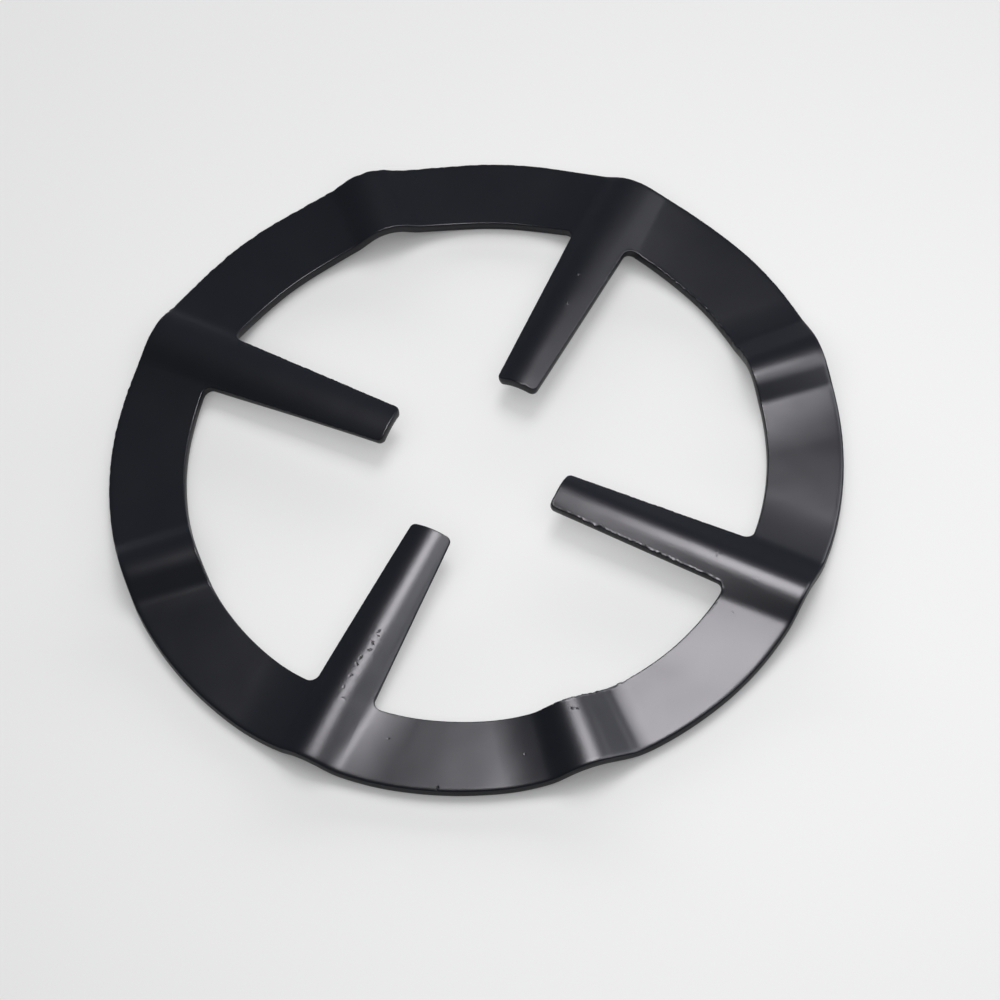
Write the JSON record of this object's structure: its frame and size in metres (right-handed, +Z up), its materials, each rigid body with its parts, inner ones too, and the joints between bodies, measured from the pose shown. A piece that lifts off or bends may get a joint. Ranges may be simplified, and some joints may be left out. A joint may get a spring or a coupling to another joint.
{
  "type": "gas hob reducer ring",
  "caption": "Flat pressed-steel ring with inward arms and low pressed waves, laid on a gas hob's pan support to carry small pots.",
  "frame": {"origin": "on the ring's axis, on the plane of the flats' undersides that it rests on", "axes": "+Z up along the ring's axis, +X and +Y along two neighbouring arms"},
  "size_m": [0.142, 0.142, 0.0059],
  "materials": {
    "black_coating": "semi-gloss black heat-resistant coating, baked onto steel sheet"
  },
  "bodies": {
    "root": {"reducer_ring": "black_coating"}
  },
  "joints": []
}
